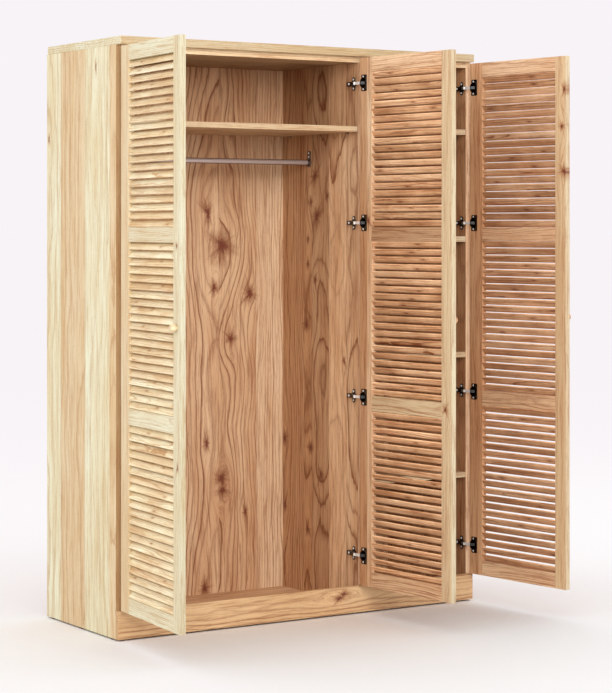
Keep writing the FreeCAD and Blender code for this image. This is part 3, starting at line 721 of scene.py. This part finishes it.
dress_board("top_panel", "x", (
    (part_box("top_panel")[0][1] + front_edge_depth, -0.30, 0.05, 0.007, 0.2, 1.22, 0.25),
    (-0.12, -0.20, 0.04, 0.007, 0.5, 0.74, 1.00),
    (0.08, -0.02, 0.05, 0.007, 0.5, 0.60, 1.00),
    (0.26, 0.18, 0.04, 0.007, 0.5, 0.62, 0.95),
), seed=7.4, **fair_oak)
dress_board("bottom_board", "x", (
    (-0.12, -0.20, 0.04, 0.007, 0.5, 0.95, 0.6),
    (0.08, -0.02, 0.05, 0.007, 0.5, 1.0, 0.5),
    (0.26, 0.18, 0.04, 0.007, 0.5, 0.95, 0.6),
), seed=8.6, **mid_oak)
dress_board("plinth_board", "x", (
    (0.1, 0.12, 0.035, 0.0060, 0.3, 0.86, 0.35),
), knots=((0.062, 0.145, 0.010, 2.5), (0.075, 0.165, 0.009, 2.4)), across="z", seed=9.7, **gold_oak)
shelf_names = ("hat_shelf", "right_shelf_1", "right_shelf_2", "right_shelf_3", "right_shelf_4")
for number, name in enumerate(shelf_names):
    dress_board(name, "x", (
        (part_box(name)[0][1] + front_edge_depth, -0.30, 0.05, 0.0060, 0.2, 0.98, 0.00),
        (-0.09, -0.18, 0.04, 0.0060, 0.5, 0.80, 0.95),
        (0.08, -0.02, 0.05, 0.0070, 0.5, 0.76, 1.00),
        (0.26, 0.16, 0.04, 0.0060, 0.5, 0.80, 0.95),
    ), seed=10.3 + 1.37 * number, **fair_oak)
dress_board("carcass_dowels", "x", ((1.0, 0.0, 0.05, 0.003, 0.5, 1.0, 0.5),), seed=40.2, **gold_oak)

# Doors: the oak, and the tone, its spread and the warmth of the slats, how much painted shade darkens
# the edges that go under the next slat and how much a painted highlight lightens their long edges
door_looks = {
    "left": (pale_oak, 1.07, 0.26, 0.55, 0.38, 0.0),
    "middle": (mid_oak, 1.21, 0.66, 0.65, 0.66, 0.10),
    "right": (mid_oak, 0.93, 0.54, 0.75, 0.12, 0.42),
}
# Stiles and rails: the grain, where the pith lies across and its depth, and what is added to the seed
door_pieces = {
    "hinge_stile": ("z", 0.12, 0.05, 0.0),
    "free_stile": ("z", door_width + 0.02, 0.03, 1.3),
    "bottom_rail": ("x", 0.07, 0.035, 2.1),
    "lower_rail": ("x", 0.76, 0.030, 3.4),
    "upper_rail": ("x", 1.40, 0.030, 4.2),
    "top_rail": ("x", 2.00, 0.040, 5.6),
}
# Tone and warmth of the stiles and rails
piece_looks = {
    "left_hinge_stile": (0.93, 0.75), "left_free_stile": (0.94, 0.08), "left_bottom_rail": (0.96, 0.12),
    "left_lower_rail": (0.96, 0.10), "left_upper_rail": (0.91, 0.35), "left_top_rail": (0.95, 0.08),
    "middle_hinge_stile": (0.79, 1.05), "middle_free_stile": (0.98, 0.12), "middle_bottom_rail": (0.88, 0.55),
    "middle_lower_rail": (1.00, 0.05), "middle_upper_rail": (0.68, 0.80), "middle_top_rail": (1.02, 0.40),
    "right_hinge_stile": (0.85, 1.10), "right_free_stile": (0.95, 0.65), "right_bottom_rail": (1.00, 0.40),
    "right_lower_rail": (0.92, 0.60), "right_upper_rail": (0.97, 0.50), "right_top_rail": (1.00, 0.45),
}
fair_pieces = ("middle_free_stile", "middle_lower_rail", "right_free_stile")
# Strips of a stile: the distance from the hinge edge that they start at, their tone and warmth
free_edge = door_width - free_edge_depth
stile_strips = {
    # The left free stile's free edge face is painted darker, a painted shade on the face that the front lamp
    # lights
    "left_free_stile": (free_edge, 0.72, 0.10),
    "middle_hinge_stile": (0.041, 1.05, 0.10),
    "middle_free_stile": (free_edge, 0.95, -0.45),
    "right_free_stile": (free_edge, 0.95, -0.10),
}
stile_knots = {
    "right_free_stile": ((0.462, 1.719, 0.010, 1.5), (0.472, 1.563, 0.012, 1.5), (0.474, 1.848, 0.009, 1.4)),
    "left_free_stile": ((0.455, 1.31, 0.007, 1.6), (0.463, 0.62, 0.007, 1.6)),
    "middle_hinge_stile": ((0.047, 1.39, 0.007, 1.8),),
    "middle_free_stile": ((0.449, 0.752, 0.008, 1.4),),
}
piece_ring_spacing = 0.0050
knob_ring_spacing = 0.003
for number, (door, (oak, tone, spread, warmth, shadow, highlight_strength)) in enumerate(door_looks.items()):
    seed = 20.5 + 7.7 * number
    for piece, (grain, pith, depth, own_seed) in door_pieces.items():
        name = door + "_" + piece
        dress(name, door_piece(name, door, grain, pith, depth, piece_ring_spacing, *piece_looks[name],
                               seed + own_seed, knots=stile_knots.get(name, ()), strip=stile_strips.get(name),
                               Wander=0.3, **(fair_oak if name in fair_pieces else oak)))
    name = door + "_slats"
    dress(name, slat_material(name, door, seed + 6.1, tone, spread, warmth, shadow, highlight_strength, Wander=0.25, **oak))
    name = door + "_knob"
    dress(name, door_piece(name, door, "y", door_width - knob_from_free_edge, 0.02 - knob_height,
                           knob_ring_spacing, 0.98, warmth, seed + 7.9, **oak))

# Metal and plastic: colour, roughness, how uneven it is, bump and how metallic
metals = {
    "dark_steel": metal("dark_nickel", (0.085, 0.078, 0.072), 0.16, 0.16, 0.15),
    "screw_steel": metal("zinc_plate", (0.97, 0.96, 0.94), 0.28, 0.20, 0.25, 0.25),
    "rail_steel": metal("chrome_tube", (0.60, 0.52, 0.50), 0.30, 0.12, 0.08, 0.55, lines=True),
}
# Rail holders and shelf pins: chrome painted dark, a painted shade and painted dark reflection standing in for
# their shadow
painted_shade_steel = metal("painted_shade_steel", (0.26, 0.23, 0.21), 0.30, 0.12, 0.08)
for part in frame["record"]["subparts"]:
    if part["material_slot"] in metals:
        dress(part["node"], metals[part["material_slot"]])
for name in ("rail_holders", "shelf_pins"):
    dress(name, painted_shade_steel)
for door in door_edges:
    dress(door + "_links", metal("nickel_" + door, (0.92, 0.90, 0.87), 0.26, 0.18, 0.20, 0.35, door))
dress("glides", plastic("glide_plastic", (0.045, 0.040, 0.036)))


# Slightly rounded edges

board_edge = 0.0012
rail_edge = 0.0008
weld_distance = 0.00001
sharpest_kept = math.radians(50)
carcass_boards = ("left_side", "right_side", "divider", "top_board", "top_panel", "bottom_board",
                  "plinth_board")


def soften(name, width):
    weld = nodes[name].modifiers.new("weld", "WELD")
    weld.merge_threshold = weld_distance
    bevel = nodes[name].modifiers.new("soft_edges", "BEVEL")
    bevel.width = width
    bevel.segments = 2
    bevel.limit_method = "ANGLE"
    bevel.angle_limit = sharpest_kept


for name in carcass_boards + shelf_names:
    soften(name, board_edge)
for door in door_edges:
    for piece in door_pieces:
        if piece.endswith("rail"):
            soften(door + "_" + piece, rail_edge)

# Floor, light and camera
floor_size = 400
floor_below = 0.0004
bpy.ops.mesh.primitive_plane_add(size=floor_size, location=(0, 0, -floor_below))
floor = bpy.context.object
floor.name = "floor"
material, wires, shader = new_material("floor_white")
shader.inputs["Base Color"].default_value = (1.0, 1.0, 0.99, 1)
shader.inputs["Roughness"].default_value = 1.0
shader.inputs["Specular IOR Level"].default_value = 0.0
floor.data.materials.append(material)
floor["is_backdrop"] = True

world = bpy.data.worlds.new("studio")
scene.world = world
world.use_nodes = True
background = world.node_tree.nodes["Background"].inputs
background["Color"].default_value = (0.939, 0.896, 0.930, 1)
background["Strength"].default_value = 1.0


def light_group(name, members):
    """The objects that a lamp lights."""
    group = bpy.data.collections.new(name)
    for member in members:
        group.objects.link(member)
    return group


def lamp(name, energy, width, height, place, target, colour, receivers):
    light = bpy.data.lights.new(name, "AREA")
    light.shape = "RECTANGLE"
    light.energy = energy
    light.size = width
    light.size_y = height
    light.color = colour
    made = bpy.data.objects.new(name, light)
    scene.collection.objects.link(made)
    made.location = place
    made.rotation_euler = (Vector(target) - made.location).to_track_quat("-Z", "Y").to_euler()
    made.light_linking.receiver_collection = receivers


# The lamps light the object alone, and the floor keeps an even light of its own
wardrobe_lit = light_group("wardrobe_lit", nodes.values())
floor_lit = light_group("floor_lit", (floor,))
lamp("left_box", 90, 4.0, 3.0, (-6.0, -2.2, 2.4), (0, -0.2, 1.0), (0.95, 1.0, 0.97), wardrobe_lit)
lamp("front_box", 365, 4.5, 3.5, (-2.6, -6.3, 3.4), (0, 0, 1.0), (1.0, 0.995, 0.97), wardrobe_lit)
lamp("floor_box", 48, 6.0, 6.0, (0.6, -1.6, 4.5), (0.6, -1.6, 0), (0.75, 1.0, 0.92), floor_lit)

focal_px = 2151.98
picture_height = 693
principal_row = 227.59
sensor_width = 36
lens = bpy.data.cameras.new("camera")
lens.lens = focal_px / picture_height * sensor_width
lens.shift_y = (principal_row - picture_height / 2) / picture_height
lens.clip_end = floor_size
camera = bpy.data.objects.new("camera", lens)
scene.collection.objects.link(camera)
camera.location = (-4.05103, -6.58015, 1.3666)
camera.rotation_euler = (math.radians(90), 0, math.radians(-32.75))
scene.camera = camera

scene.view_settings.view_transform = "Standard"

size += [[round(value, 6) for value in corner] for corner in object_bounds()]
